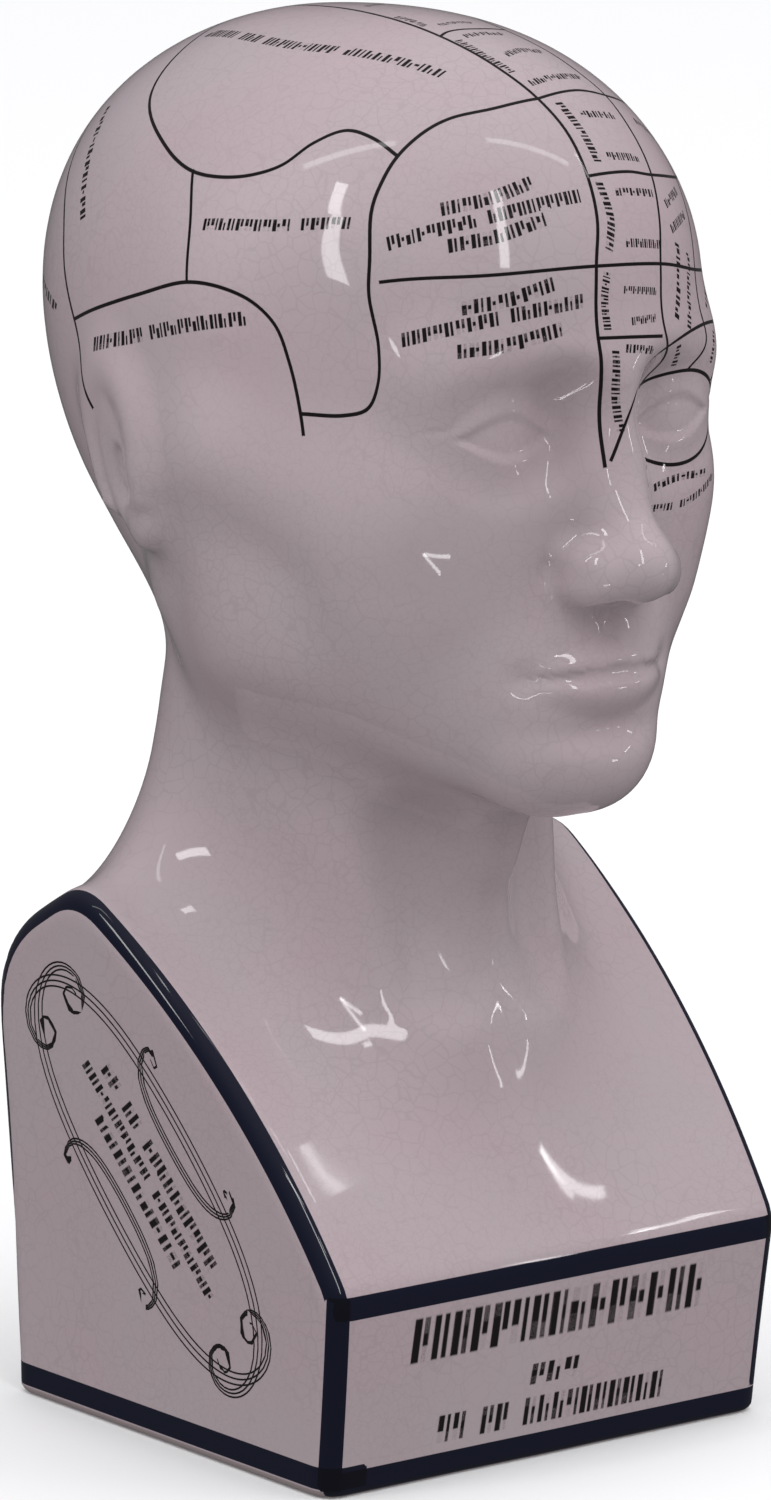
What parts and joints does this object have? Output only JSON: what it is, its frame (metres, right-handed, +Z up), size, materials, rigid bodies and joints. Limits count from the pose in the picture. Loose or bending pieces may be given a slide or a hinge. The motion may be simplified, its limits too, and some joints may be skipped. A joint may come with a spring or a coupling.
{
  "type": "phrenology head",
  "caption": "Bald ceramic head and neck on a wedge-shaped bust block, made as a desk ornament with a printed chart of the skull.",
  "frame": {"origin": "middle of the block's flat underside, on the surface it stands on", "axes": "+Z up; the face and the plaque look towards -Y; +X is the figure's own left"},
  "size_m": [0.1236, 0.1671, 0.2829],
  "materials": {
    "crackle_glaze": "glossy pale mauve-grey crackled glaze over white ceramic, with black printed lines and dark blue painted bands"
  },
  "bodies": {
    "root": {"phrenology_head": "crackle_glaze"}
  },
  "joints": []
}
